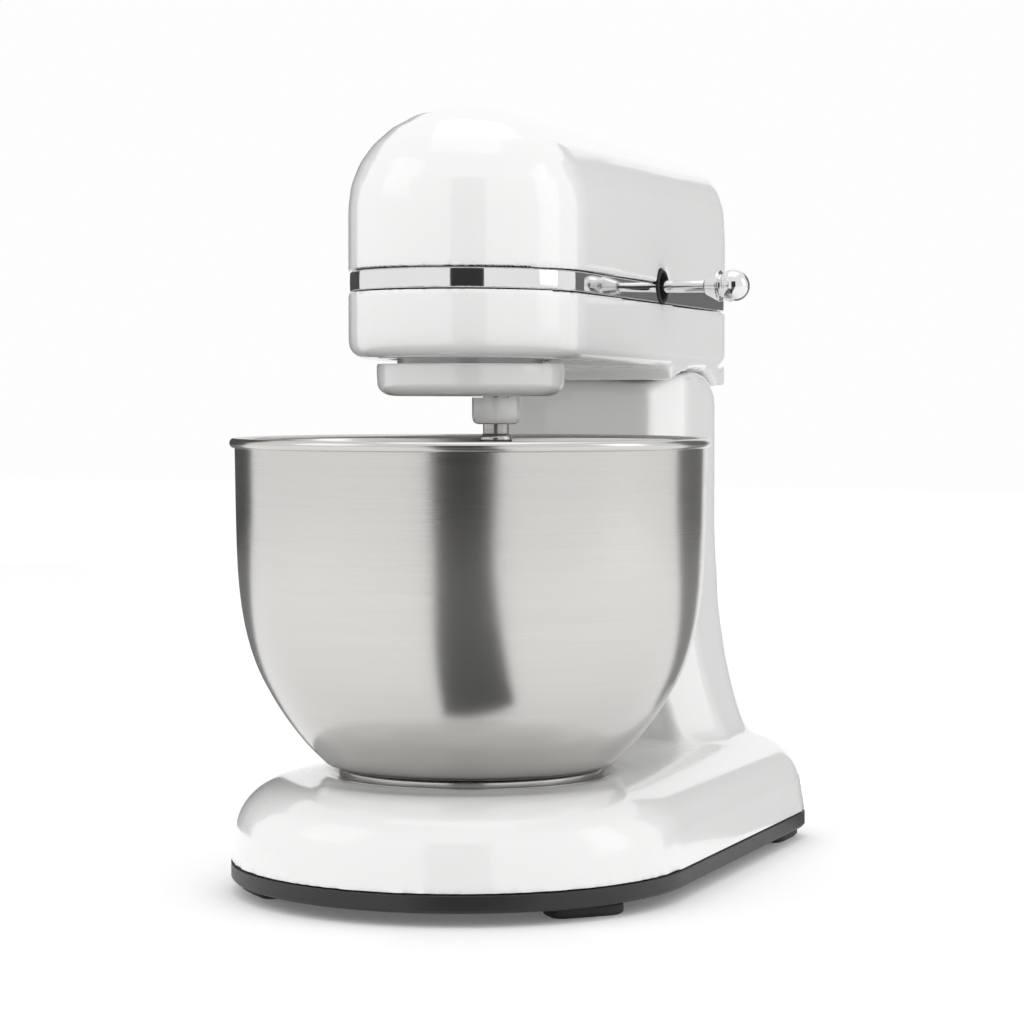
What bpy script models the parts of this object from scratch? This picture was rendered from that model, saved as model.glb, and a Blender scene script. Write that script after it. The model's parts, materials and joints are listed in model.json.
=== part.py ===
"""Tilt-head stand mixer, modelled in metres with +Z up and the nose towards -Y."""
import math

import bmesh
import bpy
from mathutils import Matrix, Vector

# driving dimensions, in metres; Y runs back from the mixing axis
GAP = 0.0004                 # running gap between touching pieces
BOWL_R = 0.0955              # outer radius of the bowl's rolled rim
BOWL_TOP = 0.178             # height of the rim's top
BOWL_WALL = 0.0014
RIM_BEAD = 0.002
FOOT_RING_R = 0.0525         # bowl's foot ring
FOOT_RING_DEPTH = 0.005
FOOT_RING_LIFT = 0.0025      # its top above the base
BASE_HALF_WIDTH = 0.0915
BASE_NOSE_Y = -0.0085        # centre of the base's half-round front
BASE_CORNER = 0.030
BASE_TOP = 0.045
BASE_SIDE_TOP = 0.024        # where its side starts to round over
BASE_ROUND = 0.026           # base's rounded shoulder
PLATE_BOTTOM = 0.005         # underside of the dark bottom cover
PLATE_TOP = 0.012
FOOT_HALF = (0.0150, 0.0075)
INLET_R = 0.0050             # cord inlet
INLET_Z = 0.0270
COLUMN_CLEARANCE = 0.0165    # bowl's rim to the column's front
COLUMN_DEPTH = 0.078
HEAD_BOTTOM = 0.2085         # at the mixing axis
HEAD_HALF_WIDTH = 0.0485
HEAD_OVERHANG = 0.013        # head's rear behind the base's
HEAD_CORNER = 0.022
HEAD_SLOPE = 0.019           # fall of the head's seams towards the rear
HEAD_WALL = 0.0030
TUB_DEPTH = 0.0265           # head's bottom to the trim band
BAND_DEPTH = 0.0078
BAND_INSET = 0.0007
UPPER_SIDE = 0.0252          # trim band to where the nose starts to round over
DOME_DEPTH = 0.0415
RIDGE_FALL = 0.026
PIN_R = 0.004                # hinge pin
EAR_R = 0.040                # top of the column, round about the pin
LUG_HALF_WIDTH = 0.020       # head's hinge lug between the ears
LUG_R = 0.018
COLUMN_FLARE_BOTTOM = 0.030
COLUMN_REAR_INSET = 0.0023
COLUMN_WALL = 0.0115
BROW_REACH = 0.050           # column's top in front of the pin
BROW_DROP = 0.014
DISC_R = 0.0373              # planetary disc
RING_HOLE_R = 0.0300         # its hole in the head
ORBIT_R = 0.0180             # beater shaft's distance from the mixing axis
ORBIT_ANGLE = math.radians(-35.0)
SLEEVE_R = 0.0094
SHAFT_R = 0.0051
STUD_R = 0.0040              # planetary shaft
CROSS_PIN_R = 0.0015
PLANET_R = 0.0082            # planet pinion over its teeth
RING_TEETH = 48
PLANET_TEETH = 16
LEVER_PIVOT_X = 0.022
LEVER_BALL_R = 0.0069
LEVER_ROD_R = 0.0026
LEVER_HOLE_R = 0.0075
MOTOR_R = 0.0290
AXLE_R = 0.0030              # cross shaft and armature shaft
WORM_R = 0.0060
WHEEL_R = 0.0120             # worm wheel on the cross shaft
PINION_R = 0.0065            # bevel pinion on the cross shaft
PINION_SWELL = 1.1

# places that follow
BAND_BOTTOM = HEAD_BOTTOM + TUB_DEPTH
BAND_TOP = BAND_BOTTOM + BAND_DEPTH
SHOULDER = BAND_TOP + UPPER_SIDE
HEAD_TOP = SHOULDER + DOME_DEPTH
COLUMN_FRONT = BOWL_R + COLUMN_CLEARANCE
BASE_REAR = COLUMN_FRONT + COLUMN_DEPTH
HEAD_REAR = BASE_REAR + HEAD_OVERHANG
PIN_Y = COLUMN_FRONT + 0.045
PIN_Z = HEAD_BOTTOM - 0.0435
COLUMN_HALF_WIDTH = HEAD_HALF_WIDTH - 0.0030
COLUMN_FRONT_HALF = COLUMN_HALF_WIDTH - 0.0095
COLUMN_HOLLOW = COLUMN_HALF_WIDTH - COLUMN_WALL
COLUMN_SIDE_FRONT = PIN_Y - 0.021
COLUMN_FLARE_TOP = PIN_Z - 0.030
COLUMN_FLARE = BASE_HALF_WIDTH - COLUMN_HALF_WIDTH - 0.005
SEAT_R = FOOT_RING_R + 0.0010
SEAT_Z = BASE_TOP - 0.0050   # floor of the seat
FOOT_RING_TOP = BASE_TOP + FOOT_RING_LIFT
LUG_TOP = FOOT_RING_TOP - 0.0012
TAB_Z = SEAT_Z + 0.0028
DISC_TOP = HEAD_BOTTOM - 0.0014
DISC_BOTTOM = HEAD_BOTTOM - 0.0142
DISC_NECK_R = RING_HOLE_R - 0.0008
SLEEVE_BOTTOM = DISC_BOTTOM - 0.0109
SHAFT_BOTTOM = SLEEVE_BOTTOM - 0.0334
SHAFT_TOP = DISC_TOP - 0.0040  # where the pinion's journal meets it
PINION_Z = HEAD_BOTTOM + HEAD_WALL + 0.0014
RING_GEAR_R = ORBIT_R + PLANET_R + GAP
GEARCASE_R = RING_GEAR_R + 0.0134
LEVER_Y = PIN_Y - 0.061
LEVER_Z = BAND_BOTTOM + 0.0050
LEVER_BALL_X = HEAD_HALF_WIDTH + 0.0305
LOCK_Y = PIN_Y - 0.039
LOCK_Z = HEAD_BOTTOM + 0.0115
MOTOR_Y = PIN_Y - 0.021
MOTOR_Z = HEAD_BOTTOM + 0.0515
AXLE_Z = MOTOR_Z - WORM_R - WHEEL_R - GAP
FRAME_Y = -(HEAD_REAR - BASE_HALF_WIDTH + BASE_NOSE_Y) / 2   # origin at the middle of the box

for old in list(bpy.data.objects):
    bpy.data.objects.remove(old, do_unlink=True)


def empty(name, place, parent=None):
    thing = bpy.data.objects.new(name, None)
    bpy.context.collection.objects.link(thing)
    thing.parent = parent
    thing.location = place
    return thing


MIXER = empty("mixer_frame", (0, FRAME_Y, 0))
HEAD = empty("head_pivot", (0, PIN_Y, PIN_Z), MIXER)
FINISHES = {
    "enamel": ((0.86, 0.86, 0.86), 0.12, 0.0),
    "steel": ((0.62, 0.61, 0.59), 0.28, 1.0),
    "chrome": ((0.85, 0.85, 0.86), 0.06, 1.0),
    "rubber": ((0.03, 0.03, 0.03), 0.7, 0.0),
    "plastic": ((0.06, 0.06, 0.065), 0.45, 0.0),
    "iron": ((0.3, 0.3, 0.31), 0.4, 1.0),
    "copper": ((0.75, 0.38, 0.2), 0.35, 1.0),
    "bronze": ((0.6, 0.45, 0.2), 0.35, 1.0),
}


def make(name, bm, finish, parent=MIXER, origin=(0, 0, 0), sharp=35):
    """Turns a bmesh, given in the mixer's frame, into a named object whose origin is at `origin`."""
    bmesh.ops.recalc_face_normals(bm, faces=bm.faces)
    shift = Vector(origin)
    bmesh.ops.translate(bm, verts=bm.verts, vec=-shift)
    mesh = bpy.data.meshes.new(name)
    bm.to_mesh(mesh)
    bm.free()
    mesh.shade_smooth()
    mesh.set_sharp_from_angle(angle=math.radians(sharp))
    thing = bpy.data.objects.new(name, mesh)
    bpy.context.collection.objects.link(thing)
    thing.parent = parent
    thing.location = shift
    if parent is HEAD:
        thing.location = shift - Vector((0, PIN_Y, PIN_Z))
    colour, rough, metal = FINISHES[finish]
    material = bpy.data.materials.new(name + "_finish")
    material.use_nodes = True
    shader = material.node_tree.nodes["Principled BSDF"]
    shader.inputs["Base Color"].default_value = (*colour, 1)
    shader.inputs["Roughness"].default_value = rough
    shader.inputs["Metallic"].default_value = metal
    mesh.materials.append(material)
    return thing


def loft(rings, closed=False):
    """Bridges rings of equal length. Open lofts are capped at both ends."""
    bm = bmesh.new()
    rows = [[bm.verts.new(p) for p in ring] for ring in rings]
    pairs = list(zip(rows, rows[1:]))
    if closed:
        pairs.append((rows[-1], rows[0]))
    for low, high in pairs:
        for i in range(len(low)):
            k = (i + 1) % len(low)
            bm.faces.new((low[i], low[k], high[k], high[i]))
    if not closed:
        bm.faces.new(list(reversed(rows[0])))
        bm.faces.new(rows[-1])
    return bm


def circle(r, z, centre=(0, 0), n=32):
    turns = [2 * math.pi * i / n for i in range(n)]
    return [(centre[0] + r * math.cos(a), centre[1] + r * math.sin(a), z) for a in turns]


def turned(profile, centre=(0, 0), n=32):
    """A solid of revolution about Z from (radius, height) pairs, bottom to top."""
    return loft([circle(r, z, centre, n) for r, z in profile])


def tube(outer, inner, z0, z1, centre=(0, 0), n=32):
    rings = [circle(inner, z0, centre, n), circle(outer, z0, centre, n)]
    rings += [circle(outer, z1, centre, n), circle(inner, z1, centre, n)]
    return loft(rings, closed=True)


def aim(bm, axis, place):
    """Turns a shape made about Z so that Z lies along X or Y, then moves it to `place`."""
    turn = {"X": Matrix.Rotation(math.pi / 2, 3, "Y"), "Y": Matrix.Rotation(-math.pi / 2, 3, "X")}
    if axis in turn:
        bmesh.ops.rotate(bm, verts=bm.verts, cent=(0, 0, 0), matrix=turn[axis])
    bmesh.ops.translate(bm, verts=bm.verts, vec=place)
    return bm


def box(x0, x1, y0, y1, z0, z1):
    return loft([[(x0, y0, z), (x1, y0, z), (x1, y1, z), (x0, y1, z)] for z in (z0, z1)])


def cut(target, bm, operation="DIFFERENCE"):
    """Applies an exact Boolean whose tool is given in the mixer's frame."""
    bmesh.ops.recalc_face_normals(bm, faces=bm.faces)
    mesh = bpy.data.meshes.new("tool")
    bm.to_mesh(mesh)
    bm.free()
    tool = bpy.data.objects.new("tool", mesh)
    bpy.context.collection.objects.link(tool)
    tool.parent = MIXER
    modifier = target.modifiers.new("shape", "BOOLEAN")
    modifier.operation = operation
    modifier.object = tool
    bpy.context.view_layer.update()
    graph = bpy.context.evaluated_depsgraph_get()
    result = bpy.data.meshes.new_from_object(target.evaluated_get(graph))
    target.modifiers.clear()
    target.data = result
    bpy.data.objects.remove(tool, do_unlink=True)


def as_tool(thing):
    """Takes a helper object's mesh back as a bmesh and removes the object."""
    bm = bmesh.new()
    bm.from_mesh(thing.data)
    bpy.data.objects.remove(thing, do_unlink=True)
    return bm


def stadium(half, front_y, rear, corner, z, inset=0.0, rear_inset=None):
    """Plan outline: half-round front, straight sides, rounded rear corners."""
    back = rear - (inset if rear_inset is None else rear_inset)
    r = half - inset
    c = max(corner - inset * 0.5, 0.002)
    c = min(c, r * 0.98)
    points = []
    for i in range(25):
        a = math.pi + math.pi * i / 24
        points.append((r * math.cos(a), front_y + r * math.sin(a), z))
    for i in range(1, 4):
        points.append((r, front_y + (back - c - front_y) * i / 4, z))
    for i in range(7):
        a = math.pi / 2 * i / 6
        points.append((r - c + c * math.cos(a), back - c + c * math.sin(a), z))
    for i in range(7):
        a = math.pi / 2 + math.pi / 2 * i / 6
        points.append((-(r - c) + c * math.cos(a), back - c + c * math.sin(a), z))
    for i in range(3, 0, -1):
        points.append((-r, front_y + (back - c - front_y) * i / 4, z))
    return points


def base_ring(z, inset, rear_inset=None):
    return stadium(BASE_HALF_WIDTH, BASE_NOSE_Y, BASE_REAR, BASE_CORNER, z, inset, rear_inset)


def column_ring(z):
    """Column outline at a height: dished front, angled facets, flared foot."""
    reach = COLUMN_FLARE_TOP - COLUMN_FLARE_BOTTOM
    t = min(max((COLUMN_FLARE_TOP - z) / reach, 0.0), 1.0)
    flare = COLUMN_FLARE * (1 - math.sqrt(max(1 - t * t, 0.0)))
    side = COLUMN_HALF_WIDTH + flare
    edge = COLUMN_FRONT_HALF + flare
    front = COLUMN_FRONT - flare * 0.35
    points = []
    for i in range(9):
        u = -1 + i / 4
        points.append((edge * u, front + 0.010 * (1 - u * u), z))
    points.append((side, COLUMN_SIDE_FRONT, z))
    corner = 0.009 + 0.75 * flare
    for i in range(5):
        a = math.pi / 2 * i / 4
        back = BASE_REAR - COLUMN_REAR_INSET - corner
        points.append((side - corner + corner * math.cos(a), back + corner * math.sin(a), z))
    return points + [(-x, y, zz) for x, y, zz in reversed(points[9:])]


def column_profile(grow=0.0):
    """Side view of the column's top: round behind the pin, flatter in front, as (y, z)."""
    r = EAR_R + grow
    points = [(PIN_Y + r, 0.0), (PIN_Y + r, PIN_Z)]
    points += [(PIN_Y + r * math.cos(a), PIN_Z + r * math.sin(a))
               for a in (math.pi / 2 * i / 12 for i in range(1, 13))]
    for i in range(1, 11):
        a = math.pi / 2 * i / 10
        drop = BROW_DROP * (1 - math.cos(a))
        points.append((PIN_Y - (BROW_REACH + grow) * math.sin(a), PIN_Z + r - drop))
    points.append((points[-1][0], 0.0))
    return points


def prism_x(profile, half):
    return loft([[(x, y, z) for y, z in profile] for x in (-half, half)])


def base_casting():
    rings = [base_ring(BASE_TOP - 0.008, 0.020, 0.008), base_ring(PLATE_TOP + GAP, 0.005)]
    rings.append(base_ring(PLATE_TOP + GAP, 0.0))
    rings.append(base_ring(BASE_SIDE_TOP, 0.0015))
    for i in range(1, 7):
        a = math.pi / 2 * i / 6
        side = 0.0015 + BASE_ROUND * (1 - math.cos(a))
        rings.append(base_ring(BASE_SIDE_TOP + (BASE_TOP - BASE_SIDE_TOP) * math.sin(a), side, 0.0006 + side * 0.3))
    thing = make("base_column", loft(rings), "enamel")
    heights = [BASE_TOP + rise for rise in (-0.0063, -0.0016, 0.0035, 0.011, 0.021, 0.035, 0.055)]
    heights += [COLUMN_FLARE_TOP, PIN_Z + EAR_R + 0.010]
    column = make("column", loft([column_ring(z) for z in heights]), "enamel")
    cut(column, prism_x(column_profile(), 0.2), "INTERSECT")
    cut(thing, as_tool(column), "UNION")
    inside = FOOT_RING_R - 0.0025
    collar = [(inside, SEAT_Z - 0.004), (SEAT_R + 0.0105, SEAT_Z - 0.004), (SEAT_R + 0.0100, BASE_TOP + 0.0002)]
    collar += [(SEAT_R + 0.0075, BASE_TOP + 0.0012), (SEAT_R + 0.001, BASE_TOP + 0.0012), (inside, BASE_TOP - 0.002)]
    cut(thing, turned(collar, n=40), "UNION")
    cut(thing, turned([(SEAT_R, SEAT_Z), (SEAT_R, BASE_TOP + 0.025)], n=40))
    wide = LUG_HALF_WIDTH + 2 * GAP
    cut(thing, box(-wide, wide, PIN_Y - LUG_R - 0.001, HEAD_REAR + 0.1, PIN_Z - LUG_R - 0.001, HEAD_TOP))
    hollow_top = PIN_Z - LUG_R - 0.019
    cut(thing, box(-COLUMN_HOLLOW, COLUMN_HOLLOW, COLUMN_FRONT + 0.016, BASE_REAR - 0.009, 0.001, hollow_top))
    bore = turned([(PIN_R + GAP, -COLUMN_HALF_WIDTH - 0.0045), (PIN_R + GAP, COLUMN_HALF_WIDTH + 0.0045)], n=20)
    cut(thing, aim(bore, "X", (0, PIN_Y, PIN_Z)))
    inlet = turned([(INLET_R + GAP, -0.02), (INLET_R + GAP, 0.01)], n=20)
    cut(thing, aim(inlet, "Y", (0, BASE_REAR, INLET_Z)))
    thing.data.materials.clear()
    thing.data.materials.append(bpy.data.materials["base_column_finish"])


def bottom_parts():
    thick = [base_ring(z, inset) for z, inset in
             ((PLATE_BOTTOM, 0.0015), (PLATE_BOTTOM + 0.001, 0.0), (PLATE_TOP, 0.0))]
    make("bottom_cover", loft(thick), "plastic")
    slant = (BASE_HALF_WIDTH - 0.0330) / math.sqrt(2)
    front = (slant + 0.0241, BASE_NOSE_Y - slant - 0.0001)
    rear = (BASE_HALF_WIDTH - 0.0125, BASE_REAR - 0.030)
    spots = {"front_left": (front[0], front[1], 45), "front_right": (-front[0], front[1], -45),
             "rear_left": (rear[0], rear[1], 90), "rear_right": (-rear[0], rear[1], 90)}
    for side, (x, y, turn) in spots.items():
        rings = []
        for z, grow in ((0.0, -0.0012), (0.0012, 0.0), (PLATE_BOTTOM - GAP, 0.0)):
            ring = []
            for i in range(24):
                a = 2 * math.pi * i / 24
                c, s = math.cos(a), math.sin(a)
                ring.append((math.copysign(abs(c) ** 0.4, c) * (FOOT_HALF[0] + grow),
                             math.copysign(abs(s) ** 0.4, s) * (FOOT_HALF[1] + grow), z))
            rings.append(ring)
        pad = loft(rings)
        turn_matrix = Matrix.Rotation(math.radians(turn), 3, "Z")
        bmesh.ops.rotate(pad, verts=pad.verts, cent=(0, 0, 0), matrix=turn_matrix)
        bmesh.ops.translate(pad, verts=pad.verts, vec=(x, y, 0))
        make("foot_" + side, pad, "rubber")
    bushing = tube(INLET_R, INLET_R - 0.0018, -0.009, 0.0025, n=20)
    make("cord_inlet_bushing", aim(bushing, "Y", (0, BASE_REAR, INLET_Z)), "rubber")


def sector(r0, r1, z0, z1, start, end):
    angles = [math.radians(start + (end - start) * i / 6) for i in range(7)]
    ring = [(r1 * math.cos(a), r1 * math.sin(a)) for a in angles]
    ring += [(r0 * math.cos(a), r0 * math.sin(a)) for a in reversed(angles)]
    return loft([[(x, y, z) for x, y in ring] for z in (z0, z1)])


def bowl_seat():
    rim = FOOT_RING_R - 0.0115
    hub = rim - 0.005
    profile = [(rim, SEAT_Z + GAP), (rim, SEAT_Z + 0.0014), (hub, SEAT_Z + 0.0014), (hub, LUG_TOP)]
    plate = make("bowl_clamp_plate", turned(profile, n=40), "iron")
    for k in range(3):
        lug = sector(hub - 0.006, rim + 0.0035, LUG_TOP - 0.0014, LUG_TOP - 0.0002, 120 * k - 17, 120 * k + 17)
        cut(plate, lug, "UNION")
    for k in range(3):
        a = math.radians(120 * k + 60)
        place = ((hub - 0.012) * math.cos(a), (hub - 0.012) * math.sin(a))
        cut(plate, turned([(0.0034, SEAT_Z + 0.003), (0.0034, BASE_TOP + 0.015)], place, 16))
        head = [(0.0031, SEAT_Z + 0.003 + GAP), (0.0031, LUG_TOP - 0.0012), (0.0020, LUG_TOP - 0.0006)]
        make(f"clamp_screw_{k + 1}", turned(head, place, 16), "steel")


def bowl_parts():
    bottom = FOOT_RING_TOP + GAP
    flare, rise = BOWL_R - FOOT_RING_R, BOWL_TOP - bottom
    shares = ((0.0349, 0.0), (0.1209, 0.0123), (0.3047, 0.0737), (0.4767, 0.1467), (0.6163, 0.2159),
              (0.7558, 0.3120), (0.8558, 0.4235), (0.9140, 0.5542), (0.9372, 0.7079))
    wall = [(FOOT_RING_R + flare * out, bottom + rise * up) for out, up in shares]
    wall.append((BOWL_R - RIM_BEAD * 0.9, BOWL_TOP - 2 * RIM_BEAD))
    bead = [(BOWL_R - RIM_BEAD + RIM_BEAD * math.cos(a), BOWL_TOP - RIM_BEAD + RIM_BEAD * math.sin(a))
            for a in (math.radians(-30 + 42 * i) for i in range(6))]
    inner = [(r - BOWL_WALL, z + BOWL_WALL * 0.6) for r, z in reversed(wall)]
    middle = FOOT_RING_R - 0.0225
    profile = [(middle, bottom)] + wall + bead + inner + [(middle, bottom + BOWL_WALL)]
    make("bowl", turned(profile, n=44), "steel")
    ring = tube(FOOT_RING_R, FOOT_RING_R - 0.0025, FOOT_RING_TOP - FOOT_RING_DEPTH, FOOT_RING_TOP, n=48)
    foot = make("bowl_foot_ring", ring, "steel")
    for k in range(3):
        tab = sector(FOOT_RING_R - 0.015, FOOT_RING_R - 0.001, TAB_Z, TAB_Z + 0.0014, 120 * k - 14, 120 * k + 14)
        cut(foot, tab, "UNION")


def fall(bm):
    """Tips the head's seams down towards the rear."""
    for vert in bm.verts:
        vert.co.z -= HEAD_SLOPE * vert.co.y
    return bm


def head_ring(z, inset=0.0):
    return stadium(HEAD_HALF_WIDTH, 0.0, HEAD_REAR, HEAD_CORNER, z, inset)


def dome(inset, base_z):
    """Rings of the upper cover from its seam to the ridge."""
    rings = [head_ring(base_z, inset)]
    ridge_end = HEAD_REAR - HEAD_HALF_WIDTH
    for i in range(8):
        a = math.pi / 2 * i / 7.3
        ring = []
        for x, y, _ in head_ring(0, inset):
            spine = min(max(y, 0.0), ridge_end)
            power = 2 / (2 + 1.1 * min(max(y / HEAD_REAR, 0.0), 1.0))
            top = HEAD_TOP - inset - RIDGE_FALL * spine
            reach = math.cos(a) ** power
            lift = (top - SHOULDER) * math.sin(a) ** power
            ring.append((x * reach, spine + (y - spine) * reach, SHOULDER + lift))
        rings.append(ring)
    return rings


def head_covers():
    outer = dome(0.0, BAND_TOP + GAP)
    inner = dome(HEAD_WALL, BAND_TOP + GAP)
    top = make("upper_cover", fall(loft(list(reversed(inner)) + outer)), "enamel", HEAD)
    band = [head_ring(z, i) for z, i in ((BAND_BOTTOM, 0.0036), (BAND_BOTTOM, BAND_INSET),
                                         (BAND_TOP, BAND_INSET), (BAND_TOP, 0.0036))]
    trim = make("trim_band", fall(loft(band, closed=True)), "chrome", HEAD)
    seam = BAND_BOTTOM - GAP
    rings = [head_ring(HEAD_BOTTOM + HEAD_WALL, 0.006), head_ring(HEAD_BOTTOM + 0.008, HEAD_WALL)]
    rings += [head_ring(seam, HEAD_WALL), head_ring(seam, 0.0)]
    for i in range(5):
        a = math.pi / 2 * i / 4
        rings.append(head_ring(HEAD_BOTTOM + 0.007 * (1 - math.sin(a)), 0.007 * (1 - math.cos(a))))
    tub = make("lower_cover", fall(loft(rings)), "enamel", HEAD)
    cut(tub, turned([(RING_HOLE_R, HEAD_BOTTOM - 0.008), (RING_HOLE_R, HEAD_BOTTOM + 0.0115)], n=40))
    half = HEAD_HALF_WIDTH - 0.0033
    top_z = HEAD_BOTTOM - 0.0010
    saddle = make("saddle", box(-half, half, PIN_Y - 0.041, PIN_Y + 0.037, HEAD_BOTTOM - 0.0105, top_z), "enamel", HEAD)
    cut(saddle, prism_x(column_profile(0.001), 0.1))
    cut(tub, as_tool(saddle), "UNION")
    lug = prism_x([(PIN_Y + LUG_R * math.cos(a), PIN_Z + LUG_R * math.sin(a))
                   for a in (math.pi + math.pi * i / 16 for i in range(17))]
                  + [(PIN_Y + LUG_R, HEAD_BOTTOM - 0.0015), (PIN_Y - LUG_R, HEAD_BOTTOM - 0.0015)],
                  LUG_HALF_WIDTH)
    cut(tub, lug, "UNION")
    bore = turned([(PIN_R + GAP, -COLUMN_HALF_WIDTH - 0.0045), (PIN_R + GAP, COLUMN_HALF_WIDTH + 0.0045)], n=20)
    cut(tub, aim(bore, "X", (0, PIN_Y, PIN_Z)))
    for shell in (top, trim, tub):
        hole = turned([(LEVER_HOLE_R, HEAD_HALF_WIDTH - 0.0185), (LEVER_HOLE_R, HEAD_HALF_WIDTH + 0.0115)], n=28)
        cut(shell, aim(hole, "X", (0, LEVER_Y, LEVER_Z)))
    slot = box(-HEAD_HALF_WIDTH - 0.0115, -HEAD_HALF_WIDTH + 0.0185, LOCK_Y - 0.011, LOCK_Y + 0.011, LOCK_Z - 0.0035, LOCK_Z + 0.0035)
    cut(tub, slot)
    pin = turned([(PIN_R, -COLUMN_HALF_WIDTH + 0.0025), (PIN_R, COLUMN_HALF_WIDTH - 0.0025)], n=20)
    make("hinge_pin", aim(pin, "X", (0, PIN_Y, PIN_Z)), "steel")
    grommet = tube(LEVER_HOLE_R - GAP, LEVER_HOLE_R - 0.0014, HEAD_HALF_WIDTH - 0.0045,
                   HEAD_HALF_WIDTH + 0.0001, n=28)
    make("lever_grommet", aim(grommet, "X", (0, LEVER_Y, LEVER_Z)), "rubber", HEAD)


def levers():
    pivot = (LEVER_PIVOT_X, LEVER_Y, LEVER_Z)
    reach = LEVER_BALL_X
    rod = turned([(LEVER_ROD_R, LEVER_PIVOT_X + 0.0055), (LEVER_ROD_R, reach - 0.0125)], n=16)
    make("speed_lever_rod", aim(rod, "X", (0, LEVER_Y, LEVER_Z)), "chrome", HEAD, pivot)
    collar = [(0.0020, reach - 0.0121), (0.0035, reach - 0.0115), (0.0066, reach - 0.0060),
              (0.0066, reach - 0.0052)]
    knob = [(LEVER_BALL_R * math.cos(a), reach + LEVER_BALL_R * math.sin(a))
            for a in (math.radians(-44 + 18 * i) for i in range(8))]
    make("speed_lever_knob", aim(turned(collar + knob, n=20), "X", (0, LEVER_Y, LEVER_Z)),
         "chrome", HEAD, pivot)
    hub = tube(0.0050, 0.0022, LEVER_Z - 0.004, LEVER_Z + 0.004, (LEVER_PIVOT_X, LEVER_Y), 20)
    make("speed_lever_hub", hub, "iron", HEAD, pivot)
    post = turned([(0.0018, LEVER_Z - 0.012), (0.0018, LEVER_Z + 0.007)], (LEVER_PIVOT_X, LEVER_Y), 16)
    make("speed_lever_post", post, "steel", HEAD)
    face = -HEAD_HALF_WIDTH
    knob = [(0.0030, face - 0.0075), (0.0058, face - 0.0075), (0.0064, face - 0.0063), (0.0064, face - 0.0013),
            (0.0030, face - 0.0005), (0.0028, face - 0.0005), (0.0028, face + 0.0085)]
    shape = turned(knob, n=20)
    make("lock_knob", aim(shape, "X", (0, LOCK_Y - 0.006, LOCK_Z)), "chrome", HEAD)
    bar = box(face + 0.0090, face + 0.0120, LOCK_Y - 0.012, LOCK_Y + 0.006, LOCK_Z - 0.004, LOCK_Z + 0.004)
    make("lock_bar", bar, "iron", HEAD)


def toothed(teeth, root, tip, z0, z1, inner=0.0, swell=1.0):
    """A gear blank with square-topped teeth. A positive `inner` leaves a round bore."""
    outline = []
    for i in range(teeth * 4):
        r = tip if i % 4 in (0, 1) else root
        outline.append((r, 2 * math.pi * (i + 0.5) / (teeth * 4)))
    low = [(r * math.cos(a), r * math.sin(a), z0) for r, a in outline]
    high = [(r * swell * math.cos(a), r * swell * math.sin(a), z1) for r, a in outline]
    if not inner:
        return loft([low, high])
    bore = [[(inner * math.cos(a), inner * math.sin(a), z) for _, a in outline] for z in (z0, z1)]
    return loft([bore[0], low, high, bore[1]], closed=True)


def inner_toothed(teeth, tip, root, outer, z0, z1):
    spots = [(root if i % 2 else tip, math.pi * i / teeth) for i in range(teeth * 2)]
    rims = [[(outer * math.cos(a), outer * math.sin(a), z) for _, a in spots] for z in (z0, z1)]
    cogs = [[(r * math.cos(a), r * math.sin(a), z) for r, a in spots] for z in (z0, z1)]
    return loft([cogs[0], rims[0], rims[1], cogs[1]], closed=True)


def worm(r, depth, z0, z1, lead):
    rings = []
    rows = 20
    for k in range(rows + 1):
        z = z0 + (z1 - z0) * k / rows
        ring = []
        for i in range(12):
            a = 2 * math.pi * i / 12
            crest = max(math.cos(2 * a - 2 * math.pi * z / lead), 0.0)
            ring.append(((r - depth + depth * crest) * math.cos(a), (r - depth + depth * crest) * math.sin(a), z))
        rings.append(ring)
    return loft(rings)


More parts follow.
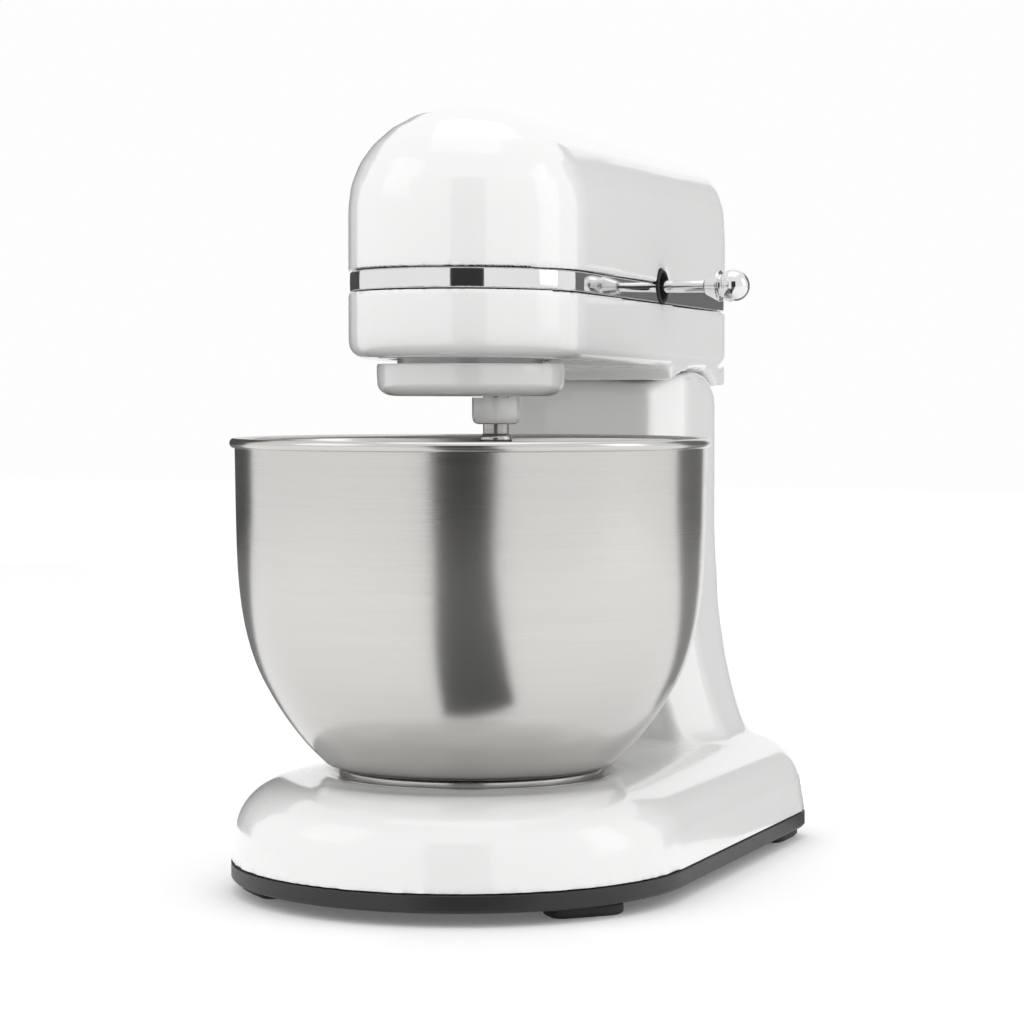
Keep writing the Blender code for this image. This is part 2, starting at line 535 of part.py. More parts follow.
def planetary():
    disc = [(DISC_R - 0.0055, DISC_BOTTOM), (DISC_R - 0.0016, DISC_BOTTOM + 0.0016),
            (DISC_R, DISC_BOTTOM + 0.0050), (DISC_R, DISC_TOP),
            (DISC_NECK_R, DISC_TOP), (DISC_NECK_R, PINION_Z - 0.0007)]
    hub = make("planetary_disc", turned(disc, n=40), "enamel", HEAD, (0, 0, DISC_BOTTOM))
    x, y = ORBIT_R * math.cos(ORBIT_ANGLE), ORBIT_R * math.sin(ORBIT_ANGLE)
    spot = (x, y)
    cut(hub, turned([(SHAFT_R + GAP, DISC_BOTTOM - 0.004), (SHAFT_R + GAP, PINION_Z + 0.02)], spot, 24))
    cut(hub, turned([(STUD_R + GAP, DISC_BOTTOM + 0.0037), (STUD_R + GAP, PINION_Z + 0.01)], n=20))
    sleeve = tube(SLEEVE_R, SHAFT_R + GAP, SLEEVE_BOTTOM + 0.0015, DISC_BOTTOM - GAP, spot, 32)
    make("beater_sleeve", sleeve, "enamel", HEAD, (0, 0, DISC_BOTTOM))
    shaft = turned([(SHAFT_R - 0.0012, SHAFT_BOTTOM), (SHAFT_R, SHAFT_BOTTOM + 0.0012), (SHAFT_R, SLEEVE_BOTTOM - 0.0079),
                    (SHAFT_R + 0.0012, SLEEVE_BOTTOM - 0.0069), (SHAFT_R + 0.0012, SLEEVE_BOTTOM - 0.0049),
                    (SHAFT_R, SLEEVE_BOTTOM - 0.0039),
                    (SHAFT_R, SHAFT_TOP)], spot, 24)
    beater = make("beater_shaft", shaft, "steel", HEAD, (x, y, SHAFT_BOTTOM))
    hole = turned([(CROSS_PIN_R + GAP, -0.02), (CROSS_PIN_R + GAP, 0.02)], n=12)
    cut(beater, aim(hole, "X", (x, y, SHAFT_BOTTOM + 0.008)))
    cross = turned([(CROSS_PIN_R, -0.0095), (CROSS_PIN_R, 0.0095)], n=12)
    make("beater_drive_pin", aim(cross, "X", (x, y, SHAFT_BOTTOM + 0.008)), "steel", HEAD, (x, y, SHAFT_BOTTOM))
    gear = toothed(PLANET_TEETH, PLANET_R - 0.0012, PLANET_R, PINION_Z, PINION_Z + 0.0055)
    bmesh.ops.translate(gear, verts=gear.verts, vec=(x, y, 0))
    pinion = make("planet_pinion", gear, "iron", HEAD, (x, y, SHAFT_BOTTOM))
    cut(pinion, turned([(SHAFT_R, SHAFT_TOP + GAP), (SHAFT_R, PINION_Z + 0.0020)], spot, 24), "UNION")
    ring = inner_toothed(RING_TEETH, RING_GEAR_R, RING_GEAR_R + 0.0012, GEARCASE_R, PINION_Z, PINION_Z + 0.0055)
    make("internal_ring_gear", ring, "iron", HEAD)
    gear_z = PINION_Z + 0.0089
    centre = turned([(STUD_R, DISC_BOTTOM + 0.0042), (STUD_R, gear_z + 0.0050)], n=20)
    make("planetary_shaft", centre, "steel", HEAD, (0, 0, DISC_BOTTOM))
    crown_top = AXLE_Z - PINION_R * PINION_SWELL - GAP
    bevel = toothed(24, 0.0200, 0.0212, gear_z, crown_top, STUD_R + GAP, 0.93)
    crown = make("bevel_gear", bevel, "bronze", HEAD, (0, 0, DISC_BOTTOM))
    cut(crown, turned([(WHEEL_R + 0.0015, gear_z + 0.0044), (WHEEL_R + 0.0015, crown_top + 0.01)], n=40))
    plate = tube(GEARCASE_R, STUD_R + GAP, PINION_Z + 0.0062, PINION_Z + 0.0082, n=40)
    make("gearcase_plate", plate, "iron", HEAD)


def drive_train():
    bore = AXLE_R + GAP
    centre = (0, 0, AXLE_Z)
    axle = turned([(AXLE_R, -0.0270), (AXLE_R, 0.0270)], n=16)
    make("cross_shaft", aim(axle, "X", centre), "steel", HEAD, centre)
    wheel = toothed(24, WHEEL_R - 0.0010, WHEEL_R, -0.0040, 0.0040, bore)
    make("worm_wheel", aim(wheel, "X", centre), "bronze", HEAD, centre)
    pinion = toothed(12, PINION_R - 0.0015, PINION_R, 0.0140, 0.0190, bore, PINION_SWELL)
    make("bevel_pinion", aim(pinion, "X", centre), "iron", HEAD, centre)
    for side, x in (("left", 0.0210), ("right", -0.0250)):
        block = tube(0.0065, bore, x, x + 0.004, n=20)
        make("cross_shaft_bearing_" + side, aim(block, "X", centre), "bronze", HEAD)
    line = (0, 0, MOTOR_Z)
    screw = worm(WORM_R, 0.0016, -0.0150, 0.0150, 0.0062)
    make("motor_worm", aim(screw, "Y", line), "iron", HEAD, line)
    shaft = turned([(AXLE_R, 0.0154), (AXLE_R, MOTOR_Y + 0.0555)], n=16)
    make("armature_shaft", aim(shaft, "Y", line), "steel", HEAD, line)
    core = toothed(12, 0.0150, 0.0166, MOTOR_Y - 0.022, MOTOR_Y + 0.022, bore)
    make("armature_core", aim(core, "Y", line), "iron", HEAD, line)
    make("commutator", aim(toothed(12, 0.0082, 0.0086, MOTOR_Y + 0.036, MOTOR_Y + 0.044, bore), "Y", line),
         "copper", HEAD, line)
    make("cooling_fan", aim(toothed(10, 0.0120, 0.0235, MOTOR_Y + 0.027, MOTOR_Y + 0.030, bore), "Y", line),
         "plastic", HEAD, line)
    stator = tube(MOTOR_R, 0.0172, MOTOR_Y - 0.022, MOTOR_Y + 0.022, n=32)
    make("motor_stator", aim(stator, "Y", line), "iron", HEAD)
    for side, y in (("front", MOTOR_Y - 0.033), ("rear", MOTOR_Y + 0.049)):
        block = tube(0.0080, bore, y, y + 0.005, n=20)
        make("motor_bearing_" + side, aim(block, "Y", line), "bronze", HEAD)
    for side, x0, x1 in (("left", 0.0092, 0.0170), ("right", -0.0170, -0.0092)):
        brush = box(x0, x1, MOTOR_Y + 0.0375, MOTOR_Y + 0.0425, MOTOR_Z - 0.003, MOTOR_Z + 0.003)
        make("brush_" + side, brush, "iron", HEAD)
    board = box(-0.030, 0.014, MOTOR_Y + 0.014, MOTOR_Y + 0.054, HEAD_BOTTOM + 0.004, HEAD_BOTTOM + 0.0056)
    make("speed_control_board", board, "plastic", HEAD)


base_casting()
bottom_parts()
bowl_seat()
bowl_parts()
head_covers()
levers()
planetary()
drive_train()
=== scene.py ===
import math
import json
import bpy
import bmesh
from mathutils import Matrix, Vector


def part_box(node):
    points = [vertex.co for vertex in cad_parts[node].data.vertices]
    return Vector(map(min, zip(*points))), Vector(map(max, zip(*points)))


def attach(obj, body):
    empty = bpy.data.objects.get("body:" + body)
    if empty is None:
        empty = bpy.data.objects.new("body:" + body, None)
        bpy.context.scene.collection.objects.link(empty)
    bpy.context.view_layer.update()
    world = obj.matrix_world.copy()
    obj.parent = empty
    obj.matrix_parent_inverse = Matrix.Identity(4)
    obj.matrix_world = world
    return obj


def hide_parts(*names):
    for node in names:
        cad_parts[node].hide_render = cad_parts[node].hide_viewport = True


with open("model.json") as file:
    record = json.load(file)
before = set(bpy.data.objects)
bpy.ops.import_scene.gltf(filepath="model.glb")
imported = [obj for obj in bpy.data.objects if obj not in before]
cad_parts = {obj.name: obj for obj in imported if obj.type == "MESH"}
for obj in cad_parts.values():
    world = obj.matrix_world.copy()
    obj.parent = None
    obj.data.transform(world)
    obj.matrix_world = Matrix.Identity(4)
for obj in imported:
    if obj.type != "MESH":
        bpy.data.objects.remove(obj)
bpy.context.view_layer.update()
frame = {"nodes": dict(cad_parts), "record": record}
print("frame loaded")
for thing in bpy.context.selected_objects:
    thing.select_set(False)


class Sock:  # a node socket that can be used in sums
    def __init__(self, net, socket):
        self.net = net
        self.socket = socket

    def calc(self, how, other, swap=False):
        pair = [other, self] if swap else [self, other]
        return self.net.node("ShaderNodeMath", {"operation": how}, {0: pair[0], 1: pair[1]})

    def __add__(self, other):
        return self.calc("ADD", other)

    def __radd__(self, other):
        return self.calc("ADD", other, True)

    def __mul__(self, other):
        return self.calc("MULTIPLY", other)

    def __rmul__(self, other):
        return self.calc("MULTIPLY", other, True)



class Net:  # one material and its node tree
    def __init__(self, name, colour, rough, metal=0.0, **fixed):
        self.material = bpy.data.materials.new(name)
        self.material.use_nodes = True
        self.tree = self.material.node_tree
        self.shader = self.tree.nodes["Principled BSDF"]
        self.shader.inputs["Base Color"].default_value = (*colour, 1)
        self.shader.inputs["Roughness"].default_value = rough
        self.shader.inputs["Metallic"].default_value = metal
        for key, value in fixed.items():
            self.shader.inputs[key.replace("_", " ")].default_value = value
        self.place = self.node("ShaderNodeTexCoord", {}, {}, "Object")

    def node(self, kind, settings, inputs, out=0):
        made = self.tree.nodes.new(kind)
        for key, value in settings.items():
            if key == "stops":
                ramp = made.color_ramp
                while len(ramp.elements) < len(value):
                    ramp.elements.new(0.5)
                for element, (spot, shade) in zip(ramp.elements, value):
                    element.position = spot
                    element.color = (shade, shade, shade, 1)
            else:
                setattr(made, key, value)
        for key, value in inputs.items():
            if isinstance(value, Sock):
                self.tree.links.new(value.socket, made.inputs[key])
            else:
                made.inputs[key].default_value = value
        return Sock(self, made.outputs[out])

    def noise(self, scale, detail=3.0, stretch=(1, 1, 1)):
        where = self.node("ShaderNodeMapping", {}, {"Vector": self.place, "Scale": stretch})
        return self.node("ShaderNodeTexNoise", {}, {"Vector": where, "Scale": scale, "Detail": detail})

    def ramp(self, value, *stops):
        return self.node("ShaderNodeValToRGB", {"stops": stops}, {"Fac": value})

    def blend(self, mask, one, two):
        return self.node("ShaderNodeMix", {"data_type": "RGBA"},
                         {0: mask, 6: (*one, 1), 7: (*two, 1)}, 2)

    def feed(self, name, value):
        self.tree.links.new(value.socket, self.shader.inputs[name])

    def bump(self, height, strength, distance):
        self.feed("Normal", self.node("ShaderNodeBump", {}, {
            "Height": height, "Strength": strength, "Distance": distance}))


def enamelFinish():
    look = {"colour": (0.84, 0.84, 0.835), "shade": (0.79, 0.79, 0.785), "rough": 0.13}
    net = Net("whiteEnamel", look["colour"], look["rough"], IOR=1.5, Coat_Weight=0.6)
    net.shader.inputs["Coat Roughness"].default_value = 0.04
    cloud = net.noise(9.0)
    net.feed("Base Color", net.blend(cloud * 0.5, look["colour"], look["shade"]))
    net.feed("Roughness", look["rough"] + net.noise(55.0) * 0.06)
    net.bump(net.noise(160.0, 2.0), 0.10, 0.0003)
    return net.material


def bowlFinish():
    look = {"colour": (0.64, 0.63, 0.61), "shade": (0.55, 0.54, 0.525), "rough": 0.17}
    net = Net("brushedBowl", look["colour"], look["rough"], 1.0, Anisotropic=0.4)
    fine = net.noise(60.0, 4.0, (0.4, 0.4, 60.0))
    coarse = net.noise(14.0, 2.0, (0.5, 0.5, 16.0))
    mask = fine * 0.7 + coarse * 0.3
    net.feed("Base Color", net.blend(mask, look["colour"], look["shade"]))
    net.feed("Roughness", look["rough"] - 0.05 + mask * 0.10)
    net.bump(fine, 0.10, 0.0001)
    return net.material


def chromeFinish():
    look = {"colour": (0.80, 0.80, 0.81), "shade": (0.72, 0.72, 0.73), "rough": 0.05}
    net = Net("polishedChrome", look["colour"], look["rough"], 1.0)
    haze = net.noise(40.0)
    net.feed("Base Color", net.blend(haze, look["colour"], look["shade"]))
    net.feed("Roughness", 0.03 + net.noise(120.0) * 0.05)
    return net.material


def steelFinish():
    look = {"colour": (0.52, 0.51, 0.50), "shade": (0.38, 0.37, 0.36), "rough": 0.2}
    net = Net("groundSteel", look["colour"], look["rough"], 1.0)
    lines = net.noise(90.0, 3.0, (1.0, 1.0, 8.0))
    net.feed("Base Color", net.blend(lines, look["colour"], look["shade"]))
    net.feed("Roughness", 0.14 + lines * 0.16)
    net.bump(lines, 0.1, 0.0002)
    return net.material


def grainFinish(name, colour, shade, rough, grain, depth):
    net = Net(name, colour, rough)
    pits = net.noise(grain, 4.0)
    dust = net.ramp(net.noise(14.0), (0.45, 0.0), (0.75, 1.0))
    net.feed("Base Color", net.blend(dust * 0.5, colour, shade))
    net.feed("Roughness", rough - 0.05 + pits * 0.14)
    net.bump(pits, 0.35, depth)
    return net.material


def metalFinish(name, colour, shade, rough):
    net = Net(name, colour, rough, 1.0)
    cloud = net.noise(70.0, 5.0)
    net.feed("Base Color", net.blend(cloud, colour, shade))
    net.feed("Roughness", rough - 0.08 + cloud * 0.2)
    net.bump(cloud, 0.3, 0.0003)
    return net.material


finishes = {
    "enamel": enamelFinish(),
    "bowl_steel": bowlFinish(),
    "chrome": chromeFinish(),
    "shaft_steel": steelFinish(),
    "dark_plastic": grainFinish("darkPlastic", (0.014, 0.014, 0.015), (0.026, 0.026, 0.027), 0.42, 900.0, 0.0002),
    "rubber": grainFinish("footRubber", (0.012, 0.012, 0.012), (0.026, 0.026, 0.026), 0.6, 700.0, 0.0003),
    "cast_metal": metalFinish("castMetal", (0.30, 0.30, 0.31), (0.20, 0.20, 0.205), 0.45),
    "bronze": metalFinish("bronze", (0.60, 0.42, 0.20), (0.45, 0.30, 0.14), 0.35),
}
slotOf = {row["node"]: row["material_slot"] for row in frame["record"]["subparts"]}
for name, node in frame["nodes"].items():
    node.data.materials.clear()
    node.data.materials.append(finishes[slotOf[name]])
print("finishes made")


low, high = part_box("bowl")
axisY = (low[1] + high[1]) / 2
rimTop = high[2]
rimR = (high[0] - low[0]) / 2


# gives a piece its material, body and slot, and hides the nodes that it stands for
def settle(piece, body, finish, *nodes, angle=35):
    piece.data.materials.clear()
    piece.data.materials.append(finishes[finish])
    bpy.ops.object.select_all(action="DESELECT")
    piece.select_set(True)
    bpy.context.view_layer.objects.active = piece
    bpy.ops.object.shade_smooth_by_angle(angle=math.radians(angle))
    piece.select_set(False)
    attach(piece, body)
    if nodes:
        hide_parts(*nodes)
    return piece


def apply(piece, kind, **settings):
    modifier = piece.modifiers.new("step", kind)
    for key, value in settings.items():
        setattr(modifier, key, value)
    bpy.ops.object.select_all(action="DESELECT")
    piece.select_set(True)
    bpy.context.view_layer.objects.active = piece
    bpy.ops.object.modifier_apply(modifier=modifier.name)
    piece.select_set(False)


# a cast copy of a node: facets and inner corners are worn round, kept edges stay crisp
def softened(node, name, voxel, rounds, keepBelow=None, keepNear=None):
    source = frame["nodes"][node]
    mesh = source.data.copy()
    piece = bpy.data.objects.new(name, mesh)
    bpy.context.collection.objects.link(piece)
    work = bmesh.new()
    work.from_mesh(mesh)
    bmesh.ops.remove_doubles(work, verts=work.verts, dist=0.00001)
    work.to_mesh(mesh)
    work.free()
    apply(piece, "REMESH", mode="VOXEL", voxel_size=voxel)
    free = piece.vertex_groups.new(name="free")
    for vert in piece.data.vertices:
        weight = 1.0
        if keepBelow is not None:
            weight = min(max((vert.co.z - keepBelow) / 0.006, 0.0), 1.0)
        if keepNear is not None:
            seam = keepNear(vert.co)
            weight = min(weight, min(max((abs(seam) - 0.0008) / 0.004, 0.0), 1.0))
        free.add([vert.index], weight, "REPLACE")
    apply(piece, "SMOOTH", factor=0.5, iterations=rounds, vertex_group="free")
    piece.vertex_groups.clear()
    return piece


# turns (radius, height) pairs about an axis through a centre; a radius of 0 closes the end
def lathe(name, profile, centre=(0.0, 0.0, 0.0), axis="Z", steps=96):
    work = bmesh.new()
    rows = []
    for radius, height in profile:
        if radius <= 0:
            rows.append([work.verts.new((0, 0, height))])
            continue
        rows.append([work.verts.new((radius * math.cos(2 * math.pi * k / steps),
                                     radius * math.sin(2 * math.pi * k / steps), height))
                     for k in range(steps)])
    for one, two in zip(rows, rows[1:]):
        for k in range(steps):
            n = (k + 1) % steps
            loop = [one[k % len(one)], one[n % len(one)], two[n % len(two)], two[k % len(two)]]
            work.faces.new(list(dict.fromkeys(loop)))
    bmesh.ops.recalc_face_normals(work, faces=work.faces)
    if axis == "X":
        bmesh.ops.rotate(work, verts=work.verts, cent=(0, 0, 0), matrix=Matrix.Rotation(math.pi / 2, 3, "Y"))
    bmesh.ops.translate(work, verts=work.verts, vec=centre)
    mesh = bpy.data.meshes.new(name)
    work.to_mesh(mesh)
    work.free()
    piece = bpy.data.objects.new(name, mesh)
    bpy.context.collection.objects.link(piece)
    return piece


# joins the first and last rows of a turned band
def welded(piece):
    work = bmesh.new()
    work.from_mesh(piece.data)
    bmesh.ops.remove_doubles(work, verts=work.verts, dist=0.00001)
    bmesh.ops.recalc_face_normals(work, faces=work.faces)
    work.to_mesh(piece.data)
    work.free()
    return piece


def makeBowl():
    look = {"wall": 0.0014, "bead": 0.0020, "seam": 0.0004, "turns": 160}
    lowRing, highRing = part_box("bowl_foot_ring")
    foot = highRing[2] + look["seam"]
    bead = look["bead"]
    side = [(0.0, foot), (0.0530, foot), (0.0548, foot + 0.0006)]
    outer = [(0.0577, foot + 0.0016), (0.0656, foot + 0.0096), (0.0730, foot + 0.0191),
             (0.0790, foot + 0.0286), (0.0850, foot + 0.0406), (0.0893, foot + 0.0551),
             (0.0918, foot + 0.0721), (0.0928, foot + 0.0921), (rimR - bead * 1.05, rimTop - 2 * bead)]
    smooth = [outer[0]]
    for one, two, three, four in zip([outer[0]] + outer, outer, outer[1:], outer[2:] + [outer[-1]]):
        for k in range(1, 7):
            t = k / 6
            spot = [0.5 * (2 * b + (c - a) * t + (2 * a - 5 * b + 4 * c - d) * t ** 2
                           + (3 * b - a - 3 * c + d) * t ** 3) for a, b, c, d in zip(one, two, three, four)]
            smooth.append(tuple(spot))
    roll = [(rimR - bead + bead * math.cos(a), rimTop - bead + bead * math.sin(a))
            for a in (math.radians(-65 + 17 * k) for k in range(15))]
    inner = [(r - look["wall"], z + look["wall"] * 0.6) for r, z in reversed(smooth[:-1])]
    profile = side + smooth + roll + inner + [(0.050, foot + 0.0022), (0.0, foot + 0.0022)]
    bowl = lathe("steelBowl", profile, (0, axisY, 0), steps=look["turns"])
    settle(bowl, "mixing_bowl", "bowl_steel", "bowl", angle=40)
    outerR = (highRing[0] - lowRing[0]) / 2
    band = [(outerR - 0.0024, lowRing[2]), (outerR - 0.0006, lowRing[2]), (outerR, lowRing[2] + 0.0006),
            (outerR, highRing[2] - 0.0004), (outerR - 0.0003, highRing[2]), (outerR - 0.0024, highRing[2]),
            (outerR - 0.0024, lowRing[2])]
    ring = welded(lathe("bowlFootBand", band, (0, axisY, 0), steps=look["turns"]))
    settle(ring, "mixing_bowl", "bowl_steel", "bowl_foot_ring")


makeBowl()
print("bowl made")


seamFall = 0.019  # per metre of length


# height over a seam that falls towards the rear
def aboveSeam(point, height):
    return point.z - height + seamFall * (point.y - axisY)


def makeCovers():
    look = {"upperSeam": 0.2432, "lowerSeam": 0.2346, "voxel": 0.00125}
    top = softened("upper_cover", "upperCover", look["voxel"], 14,
                   keepNear=lambda p: aboveSeam(p, look["upperSeam"]))
    settle(top, "head", "enamel", "upper_cover", angle=40)
    tub = softened("lower_cover", "lowerCover", look["voxel"], 8,
                   keepNear=lambda p: aboveSeam(p, look["lowerSeam"]))
    settle(tub, "head", "enamel", "lower_cover", angle=40)


def makeCasting():
    look = {"voxel": 0.0016, "rounds": 40}
    body = softened("base_column", "baseColumn", look["voxel"], look["rounds"],
                    keepBelow=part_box("base_column")[0][2] + 0.001)
    settle(body, "base", "enamel", "base_column", angle=40)


makeCovers()
makeCasting()
print("covers and casting made")


# outline about the mixing axis: half-round nose, straight sides, rounded rear corners
def plan(half, noseY, rear, corner, inset, steps=96):
    r = half - inset
    c = corner - inset * 0.5
    back = rear - inset
    points = [(r * math.cos(a), noseY + r * math.sin(a))
              for a in (math.pi + math.pi * k / steps for k in range(steps + 1))]
    points += [(r, noseY + (back - c - noseY) * k / 24) for k in range(1, 24)]
    for centre, start in ((r - c, 0.0), (c - r, math.pi / 2)):
        points += [(centre + c * math.cos(start + math.pi / 32 * k), back - c + c * math.sin(start + math.pi / 32 * k))
                   for k in range(17)]
    points += [(-r, noseY + (back - c - noseY) * k / 24) for k in range(23, 0, -1)]
    return points


# joins outlines given as (points, height); a closed stack is a band, an open one is capped
def stack(name, layers, closed, fall=0.0):
    work = bmesh.new()
    rows = [[work.verts.new((x, y + axisY, z - fall * y)) for x, y in points] for points, z in layers]
    pairs = list(zip(rows, rows[1:])) + ([(rows[-1], rows[0])] if closed else [])
    for one, two in pairs:
        for k in range(len(one)):
            n = (k + 1) % len(one)
            work.faces.new((one[k], one[n], two[n], two[k]))
    if not closed:
        work.faces.new(rows[0])
        work.faces.new(rows[-1])
    bmesh.ops.recalc_face_normals(work, faces=work.faces)
    mesh = bpy.data.meshes.new(name)
    work.to_mesh(mesh)
    work.free()
    piece = bpy.data.objects.new(name, mesh)
    bpy.context.collection.objects.link(piece)
    return piece


def makeTrim():
    look = {"half": 0.0485, "rear": 0.203, "corner": 0.022, "low": 0.2350, "high": 0.2428, "hole": 0.0075}
    layers = []
    for inset, height in ((0.0036, look["low"]), (0.0011, look["low"]), (0.0007, look["low"] + 0.0005),
                          (0.0006, (look["low"] + look["high"]) / 2), (0.0007, look["high"] - 0.0005),
                          (0.0011, look["high"]), (0.0036, look["high"])):
        layers.append((plan(look["half"], 0.0, look["rear"], look["corner"], inset), height))
    band = stack("trimBand", layers, True, seamFall)
    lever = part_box("speed_lever_post")
    bpy.ops.mesh.primitive_cylinder_add(radius=look["hole"], depth=0.04, vertices=64,
                                        location=(0.05, (lever[0][1] + lever[1][1]) / 2, leverZ),
                                        rotation=(0, math.pi / 2, 0))
    drill = bpy.context.active_object
    apply(band, "BOOLEAN", object=drill, operation="DIFFERENCE")
    bpy.data.objects.remove(drill, do_unlink=True)
    settle(band, "head", "chrome", "trim_band", angle=30)


def makeBottom():
    look = {"half": 0.0915, "nose": -0.0085, "rear": 0.190, "corner": 0.030}
    low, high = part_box("bottom_cover")
    layers = [(plan(look["half"], look["nose"], look["rear"], look["corner"], inset), z) for inset, z in
              ((0.0022, low[2]), (0.0008, low[2] + 0.0004), (0.0, low[2] + 0.0014), (0.0, high[2] - 0.0003),
               (0.0004, high[2]))]
    settle(stack("bottomCover", layers, False), "base", "dark_plastic", "bottom_cover", angle=30)


def makeFeet():
    for side in ("front_left", "front_right", "rear_left", "rear_right"):
        node = "foot_" + side
        pad = softened(node, "rubberFoot_" + side, 0.0006, 4)
        settle(pad, "base", "rubber", node, angle=40)


def makePlanetary():
    look = {"top": 0.2071, "neck": 0.0292}
    low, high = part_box("planetary_disc")
    r = (high[0] - low[0]) / 2
    bottom = low[2]
    edge = [(0.0, bottom), (r - 0.0080, bottom), (r - 0.0060, bottom + 0.0001)]
    edge += [(r - 0.0060 + 0.0058 * math.sin(a), bottom + 0.0056 - 0.0055 * math.cos(a))
             for a in (math.pi / 24 * k for k in range(1, 13))]
    rim = look["top"]
    edge += [(r, bottom + 0.0090), (r, rim - 0.0008), (r - 0.0004, rim), (look["neck"], rim),
             (look["neck"], high[2]), (0.0, high[2])]
    settle(lathe("planetaryDisc", edge, (0, axisY, 0), steps=144), "planetary", "enamel", "planetary_disc")
    low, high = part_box("beater_sleeve")
    centre = ((low[0] + high[0]) / 2, (low[1] + high[1]) / 2, 0)
    r = (high[0] - low[0]) / 2
    tip = low[2] - 0.0014
    sleeve = [(0.0056, high[2]), (0.0056, tip), (r - 0.0022, tip), (r - 0.0010, tip + 0.0004),
              (r - 0.0003, tip + 0.0014), (r, tip + 0.0028), (r, high[2]), (0.0056, high[2])]
    settle(welded(lathe("beaterSleeve", sleeve, centre, steps=72)), "planetary", "enamel", "beater_sleeve")
    low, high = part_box("beater_shaft")
    bead = (high[0] - low[0]) / 2
    r = bead - 0.0012
    shaft = [(0.0, low[2]), (r - 0.0012, low[2]), (r, low[2] + 0.0012), (r, 0.1752), (bead - 0.0003, 0.1762),
             (bead, 0.1769), (bead, 0.1781), (bead - 0.0003, 0.1788), (r, 0.1798), (r, high[2]), (0.0, high[2])]
    settle(lathe("beaterShaft", shaft, centre, steps=64), "beater", "shaft_steel", "beater_shaft")


def makeLever():
    low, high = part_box("speed_lever_rod")
    y = (low[1] + high[1]) / 2
    spot = (0, y, leverZ)
    r = (high[2] - low[2]) / 2
    groove = 0.053  # a turned line around the rod
    rod = [(0.0, low[0]), (r, low[0]), (r, groove - 0.001), (r * 0.94, groove), (r, groove + 0.001),
           (r, high[0]), (0.0, high[0])]
    settle(lathe("leverRod", rod, spot, "X", 48), "speed_lever", "chrome", "speed_lever_rod")
    low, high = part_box("speed_lever_knob")
    ball = (high[1] - low[1]) / 2
    middle = high[0] - ball
    knob = [(0.0, low[0]), (0.0026, low[0]), (0.0036, low[0] + 0.0005), (0.0062, middle - 0.0066),
            (0.0065, middle - 0.0062), (0.0065, middle - 0.0055), (0.0060, middle - 0.0052),
            (0.0050, middle - 0.0050)]
    knob += [(ball * math.cos(a), middle + ball * math.sin(a)) for a in (math.radians(-44 + 4.96 * k) for k in range(27))]
    knob.append((0.0, high[0]))
    settle(lathe("leverKnob", knob, spot, "X", 64), "speed_lever", "chrome", "speed_lever_knob")
    low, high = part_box("lever_grommet")
    r = (high[2] - low[2]) / 2
    ring = [(r - 0.0013, low[0]), (r, low[0]), (r, high[0] - 0.0004), (r - 0.0004, high[0]),
            (r - 0.0010, high[0]), (r - 0.0013, high[0] - 0.0004), (r - 0.0013, low[0])]
    settle(welded(lathe("leverGrommet", ring, spot, "X", 64)), "head", "rubber", "lever_grommet")
    low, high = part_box("lock_knob")
    spot = (0, (low[1] + high[1]) / 2, (low[2] + high[2]) / 2)
    r = (high[2] - low[2]) / 2
    end = low[0]
    knob = [(0.0, end), (r - 0.0014, end), (r - 0.0004, end + 0.0005), (r, end + 0.0014), (r, end + 0.0056),
            (r - 0.0006, end + 0.0066), (0.0034, end + 0.0071), (0.0028, end + 0.0074), (0.0028, high[0]), (0.0, high[0])]
    settle(lathe("lockKnob", knob, spot, "X", 56), "head_lock", "chrome", "lock_knob")


leverZ = (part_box("speed_lever_rod")[0][2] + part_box("speed_lever_rod")[1][2]) / 2
makeTrim()
makeBottom()
makeFeet()
makePlanetary()
makeLever()
print("trim, feet, planetary and levers made")


def card(name, size, place, aim, colour, glow=0.0, shine=0.8):
    bpy.ops.mesh.primitive_plane_add(size=1, location=place)
    sheet = bpy.context.active_object
    sheet.name = name
    sheet.scale = (size[0], size[1], 1)
    sheet.rotation_euler = (Vector(aim) - Vector(place)).to_track_quat("Z", "Y").to_euler()
    net = Net(name + "Paint", colour, shine)
    if glow:
        net.shader.inputs["Emission Color"].default_value = (*colour, 1)
        net.shader.inputs["Emission Strength"].default_value = glow
    sheet.data.materials.append(net.material)
    return sheet


def lamp(name, size, place, aim, power):
    light = bpy.data.lights.new(name, "AREA")
    light.shape = "RECTANGLE"
    light.size = size[0]
    light.size_y = size[1]
    light.energy = power
    thing = bpy.data.objects.new(name, light)
    bpy.context.collection.objects.link(thing)
    thing.location = place
    thing.rotation_euler = (Vector(aim) - Vector(place)).to_track_quat("-Z", "Y").to_euler()
    return thing


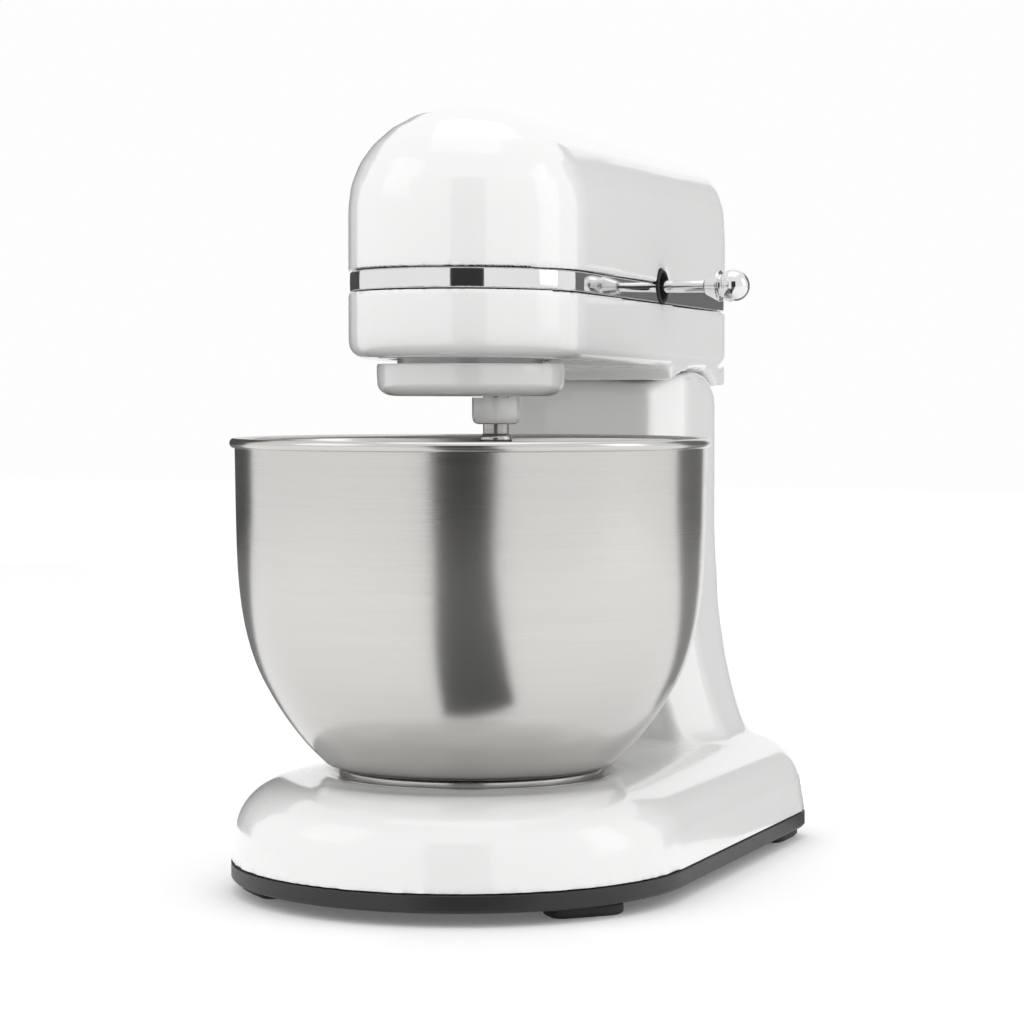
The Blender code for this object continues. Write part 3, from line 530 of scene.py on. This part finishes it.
def makeStudio():
    look = {"distance": 1.190, "turn": math.radians(22), "height": 0.198, "lens": 105.5,
            "tilt": math.radians(2.386), "yaw": math.radians(0.783)}
    camera = bpy.data.objects.new("camera", bpy.data.cameras.new("camera"))
    bpy.context.collection.objects.link(camera)
    camera.data.lens = look["lens"]
    camera.data.sensor_width = 36
    camera.data.clip_end = 30
    camera.location = (look["distance"] * math.sin(look["turn"]),
                       axisY - look["distance"] * math.cos(look["turn"]), look["height"])
    camera.rotation_euler = (math.pi / 2 - look["tilt"], 0, look["turn"] - look["yaw"])
    bpy.context.scene.camera = camera
    card("floor", (9, 9), (0, 0, 0), (0, 0, 1), (0.93, 0.93, 0.93), glow=0.12)
    middle = (0, 0, 0.15)
    for name, turn, wide, shade in (("darkFront", 18, 1.15, 0.02), ("darkLeft", -128, 1.60, 0.06),
                                    ("darkRight", 156, 1.40, 0.15)):
        a = math.radians(turn)
        out = Vector((math.sin(a), -math.cos(a), 0))
        wall = card(name, (wide, 1.5), out * 2.1 + Vector((0, 0, 0.75)), (0, 0, 0.75), (shade,) * 3)
        flat = card(name + "Floor", (wide * 0.85, 1.94), out * 1.13 + Vector((0, 0, 0.002)),
                    out * 1.13 + Vector((0, 0, 1)), (shade + 0.08,) * 3)
        flat.rotation_euler = (0, 0, a)
        for corner in flat.data.vertices:
            if corner.co.y > 0:
                corner.co.x *= 0.07  # narrow towards the mixer, so that its reflection stays even
        for sheet in (wall, flat):
            sheet.visible_camera = False
            sheet.visible_diffuse = False
            sheet.visible_shadow = False
    lamp("keySoft", (1.2, 1.2), (-1.5, -1.1, 1.3), middle, 3)
    lamp("topSoft", (1.4, 1.4), (0, 0.1, 1.9), middle, 4)
    lamp("rightSoft", (0.8, 1.4), (1.9, 0.3, 0.9), middle, 3)
    world = bpy.data.worlds.new("studio")
    bpy.context.scene.world = world
    world.use_nodes = True
    world.node_tree.nodes["Background"].inputs["Color"].default_value = (1, 1, 1, 1)
    world.node_tree.nodes["Background"].inputs["Strength"].default_value = 0.985
    bpy.context.scene.view_settings.view_transform = "Standard"


makeStudio()
print("studio made")
